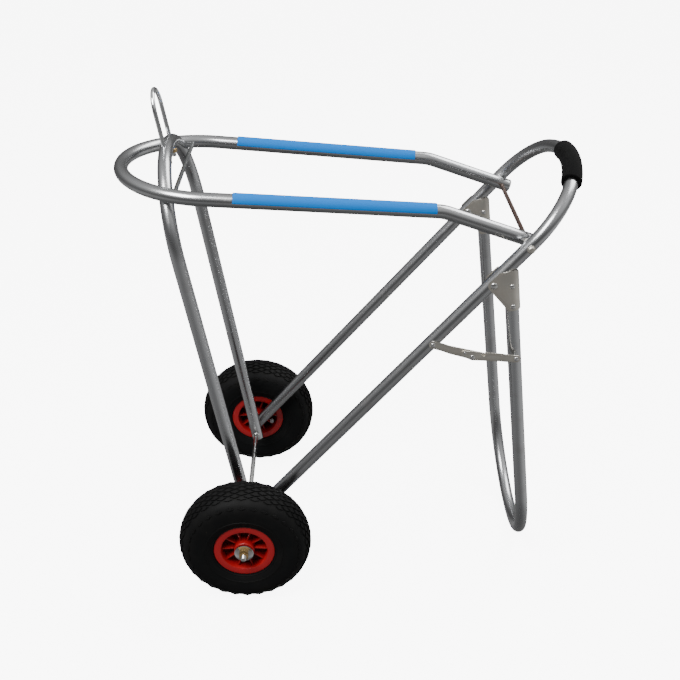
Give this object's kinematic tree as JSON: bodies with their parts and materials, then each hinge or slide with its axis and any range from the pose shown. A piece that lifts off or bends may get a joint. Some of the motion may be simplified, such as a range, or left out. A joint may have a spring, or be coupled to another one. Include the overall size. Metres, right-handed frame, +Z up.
{
  "type": "folding saddle trolley",
  "caption": "Folding two-wheeled trolley of bent tube: a saddle rail loop on an arched front frame, a looped handle with foam grip, a hinged leg and a folding stay.",
  "frame": {"origin": "on the floor under the middle of the trolley's bounding box", "axes": "+X towards the handle, +Y to the right of someone at the handle who faces the saddle rail's far side, +Z up; -Y is the side with the folding stay"},
  "size_m": [0.8441, 0.5822, 0.9606],
  "materials": {
    "satin_tube": "satin silver tube, lightly polished along its length",
    "zinc_steel": "warm grey zinc-plated pressed sheet",
    "bright_steel": "bright zinc-plated turned and headed pieces",
    "dark_steel": "dull brownish steel rod",
    "chrome": "mirror chrome",
    "yellow_zinc": "yellow-passivated zinc plating",
    "tyre_rubber": "matt black moulded rubber",
    "inner_tube_rubber": "smooth black butyl",
    "red_plastic": "semi-gloss deep red moulded plastic",
    "black_foam": "matt black foam with fine cells",
    "blue_pad": "soft bright blue plastic strip",
    "grey_plastic": "matt light grey plastic",
    "white_nylon": "natural nylon"
  },
  "bodies": {
    "frame": {"main_frame": "satin_tube", "handle_grip": "black_foam", "front_arch": "satin_tube", "bail_loop": "chrome", "bail_nut_left": "yellow_zinc", "bail_nut_right": "yellow_zinc", "axle": "bright_steel", "hub_washer_left": "bright_steel", "hub_washer_right": "bright_steel", "axle_nut_left": "yellow_zinc", "axle_nut_right": "yellow_zinc", "axle_inner_nut_left": "bright_steel", "axle_inner_nut_right": "bright_steel", "axle_spacer_left": "zinc_steel", "axle_spacer_right": "zinc_steel", "axle_washer_left": "bright_steel", "axle_washer_right": "bright_steel", "rail_rod": "dark_steel", "rail_rod_spacer_left": "white_nylon", "rail_rod_spacer_right": "white_nylon", "rail_rod_cap_left": "zinc_steel", "rail_rod_cap_right": "zinc_steel", "stay_main_rivet": "bright_steel"},
    "left_wheel": {"left_tyre": "tyre_rubber", "left_rim": "red_plastic", "left_inner_tube": "inner_tube_rubber", "left_outer_bush": "white_nylon", "left_inner_bush": "white_nylon", "left_valve_stem": "bright_steel", "left_valve_cap": "grey_plastic"},
    "right_wheel": {"right_tyre": "tyre_rubber", "right_rim": "red_plastic", "right_inner_tube": "inner_tube_rubber", "right_outer_bush": "white_nylon", "right_inner_bush": "white_nylon", "right_valve_stem": "bright_steel", "right_valve_cap": "grey_plastic"},
    "rail": {"rail_loop": "satin_tube", "rail_cross_rod": "bright_steel", "rail_plug_left": "grey_plastic", "rail_plug_right": "grey_plastic", "rail_pad_left": "blue_pad", "rail_pad_right": "blue_pad"},
    "leg": {"leg_loop": "satin_tube", "hinge_bracket_left": "zinc_steel", "hinge_bracket_right": "zinc_steel", "hinge_pin_left": "bright_steel", "hinge_pin_right": "bright_steel", "bracket_rivet_upper_left": "bright_steel", "bracket_rivet_upper_right": "bright_steel", "bracket_rivet_lower_left": "bright_steel", "bracket_rivet_lower_right": "bright_steel", "stay_leg_spacer": "bright_steel"},
    "stay_front": {"stay_link_front": "zinc_steel", "stay_front_stud": "bright_steel"},
    "stay_rear": {"stay_link_rear": "zinc_steel", "stay_knee_rivet": "bright_steel", "stay_leg_rivet": "bright_steel", "stay_rear_stud": "bright_steel"}
  },
  "joints": [
    {"name": "left_wheel_spin", "type": "hinge", "parent": "frame", "child": "left_wheel", "pos_m": [-0.20369, -0.2305, 0.13], "axis": [0, 1, 0], "continuous": true},
    {"name": "right_wheel_spin", "type": "hinge", "parent": "frame", "child": "right_wheel", "pos_m": [-0.20369, 0.2305, 0.13], "axis": [0, 1, 0], "continuous": true},
    {"name": "rail_lift", "type": "hinge", "parent": "frame", "child": "rail", "pos_m": [0.31225, 0, 0.72772], "axis": [0, 1, 0], "range_deg": [0, 92]},
    {"name": "leg_fold", "type": "hinge", "parent": "frame", "child": "leg", "pos_m": [0.25338, 0, 0.65952], "axis": [0, 1, 0], "range_deg": [0, 48.1]},
    {"name": "stay_front_turn", "type": "hinge", "parent": "frame", "child": "stay_front", "pos_m": [0.15177, 0, 0.5418], "axis": [0, 1, 0], "range_deg": [-73.4, 0]},
    {"name": "stay_knee_turn", "type": "hinge", "parent": "stay_front", "child": "stay_rear", "pos_m": [0.22396, 0, 0.51925], "axis": [0, 1, 0], "range_deg": [0, 171.2]}
  ],
  "couplings": [
    {"joint": "stay_front_turn", "follows": "leg_fold", "ratio": -1.5251},
    {"joint": "stay_knee_turn", "follows": "leg_fold", "ratio": 3.5575}
  ]
}
